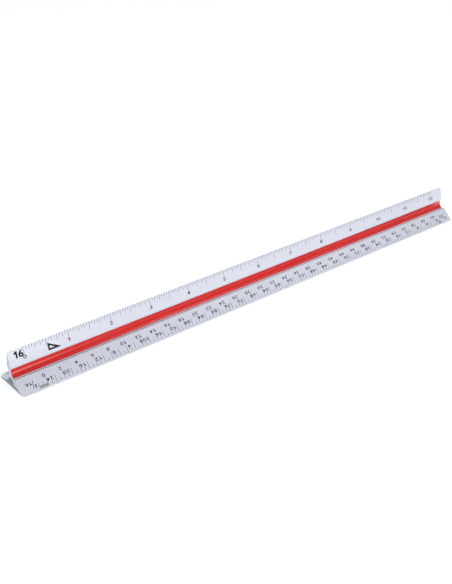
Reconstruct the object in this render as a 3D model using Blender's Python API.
"""Triangular scale ruler: a three-legged extruded bar with a coloured strip in each of its three grooves.

Frame, in metres: X along the ruler, Z up, origin on the table under the middle of the ruler, which rests
on the narrow edges of its two lower legs. All four pieces are straight extrusions along X, drawn as
sections in a plane whose origin is the middle of the triangle.
"""

import math

import bpy

# Bar. The triangle joins the tips of the three legs.
BAR_LENGTH = 0.3244
TRIANGLE_SIDE = 0.02326
TIP_FACET_WIDTH = 0.00035
FLAT_TILT = math.radians(16.5)
GROOVE_RADIUS = 0.0030
GROOVE_CENTRE = 0.0046

# Coloured strips, each in a shallow seat cut into the wall of its groove.
STRIP_THICKNESS = 0.00035
STRIP_HALF_ANGLE = math.radians(49.0)
STRIP_LEAN = math.radians(-7.0)
STRIP_SHORT_LEFT = 0.0005
STRIP_SHORT_RIGHT = 0.0001
SEAT_GAP = 0.00025

ARC_STEP = math.radians(6.0)

# Lengths that follow from the ones above.
TIP_TO_MIDDLE = TRIANGLE_SIDE / 2
INRADIUS = TRIANGLE_SIDE / (2 * math.sqrt(3))
SEAT_RADIUS = GROOVE_RADIUS + STRIP_THICKNESS + SEAT_GAP
SEAT_MARGIN = SEAT_GAP / GROOVE_RADIUS

# Direction of each face's outward normal in the section, anticlockwise from +Y.
FACE_TURNS = {"back": math.radians(30), "front": math.radians(150), "under": math.radians(270)}
STRIP_COLOURS = {"front": "red", "under": "green", "back": "blue"}

WHITE_PLASTIC = (0.82, 0.82, 0.87)
STRIP_PAINTS = {"red": (0.62, 0.03, 0.025), "green": (0.02, 0.27, 0.10), "blue": (0.02, 0.06, 0.30)}


def clear_scene():
    for obj in list(bpy.data.objects):
        bpy.data.objects.remove(obj, do_unlink=True)


def make_collection(name):
    collection = bpy.data.collections.new(name)
    bpy.context.scene.collection.children.link(collection)
    return collection


def plastic(name, colour, roughness):
    material = bpy.data.materials.new(name)
    material.use_nodes = True
    shader = material.node_tree.nodes["Principled BSDF"]
    shader.inputs["Base Color"].default_value = (*colour, 1.0)
    shader.inputs["Roughness"].default_value = roughness
    shader.inputs["Metallic"].default_value = 0.0
    return material


def turned(point, turn):
    """A point (out, along) of a face, out from the section's middle, in the section's own axes."""
    out, along = point
    across = out * math.cos(turn) - along * math.sin(turn)
    up = out * math.sin(turn) + along * math.cos(turn)
    return across, up


def arc(radius, start, end):
    """Points on a circle about the groove's axis. Angle 0 is the bottom of the groove."""
    steps = max(1, math.ceil(abs(end - start) / ARC_STEP))
    angles = [start + (end - start) * i / steps for i in range(steps + 1)]
    return [(GROOVE_CENTRE - radius * math.cos(a), radius * math.sin(a)) for a in angles]


def shoulder_angle():
    """Where the groove's wall meets the sloping flat of a leg."""
    facet_end = TIP_TO_MIDDLE - TIP_FACET_WIDTH
    flat_at_middle = INRADIUS - facet_end * math.tan(FLAT_TILT)
    axis_to_flat = (GROOVE_CENTRE - flat_at_middle) * math.cos(FLAT_TILT)
    return FLAT_TILT + math.acos(axis_to_flat / GROOVE_RADIUS)


def face_profile():
    """One face from tip to tip: tip facet, flat, shoulder, groove with its strip seat, shoulder, flat."""
    facet_end = TIP_TO_MIDDLE - TIP_FACET_WIDTH
    shoulder = shoulder_angle()
    seat_start = STRIP_LEAN - STRIP_HALF_ANGLE - SEAT_MARGIN
    seat_end = STRIP_LEAN + STRIP_HALF_ANGLE + SEAT_MARGIN
    points = [(INRADIUS, -TIP_TO_MIDDLE), (INRADIUS, -facet_end)]
    points += arc(GROOVE_RADIUS, -shoulder, seat_start)
    points += arc(SEAT_RADIUS, seat_start, seat_end)
    points += arc(GROOVE_RADIUS, seat_end, shoulder)
    points += [(INRADIUS, facet_end)]
    return points


def bar_section():
    return [turned(point, turn) for turn in FACE_TURNS.values() for point in face_profile()]


def strip_section(turn):
    start = STRIP_LEAN - STRIP_HALF_ANGLE
    end = STRIP_LEAN + STRIP_HALF_ANGLE
    visible = arc(GROOVE_RADIUS, start, end)
    hidden = arc(GROOVE_RADIUS + STRIP_THICKNESS, end, start)
    return [turned(point, turn) for point in visible + hidden]


def extrude_along_x(name, section, left, right, material, collection):
    """A closed section made solid between two places on X."""
    curve = bpy.data.curves.new(name, "CURVE")
    curve.dimensions = "2D"
    curve.fill_mode = "BOTH"
    curve.extrude = (right - left) / 2
    spline = curve.splines.new("POLY")
    spline.points.add(len(section) - 1)
    for point, (across, up) in zip(spline.points, section):
        point.co = (across, up, 0.0, 1.0)
    spline.use_cyclic_u = True
    curve.materials.append(material)
    obj = bpy.data.objects.new(name, curve)
    obj.rotation_euler = (math.radians(90), 0.0, math.radians(90))
    obj.location = ((left + right) / 2, 0.0, INRADIUS)
    collection.objects.link(obj)
    return obj


def build_bar(collection):
    material = plastic("white_plastic", WHITE_PLASTIC, 0.35)
    end = BAR_LENGTH / 2
    extrude_along_x("ruler_body", bar_section(), -end, end, material, collection)


def build_strips(collection):
    left = -BAR_LENGTH / 2 + STRIP_SHORT_LEFT
    right = BAR_LENGTH / 2 - STRIP_SHORT_RIGHT
    for face, turn in FACE_TURNS.items():
        colour = STRIP_COLOURS[face]
        material = plastic(f"{colour}_plastic", STRIP_PAINTS[colour], 0.2)
        extrude_along_x(f"groove_strip_{colour}", strip_section(turn), left, right, material, collection)


clear_scene()
ruler = make_collection("triangular_scale_ruler")
build_bar(ruler)
build_strips(ruler)
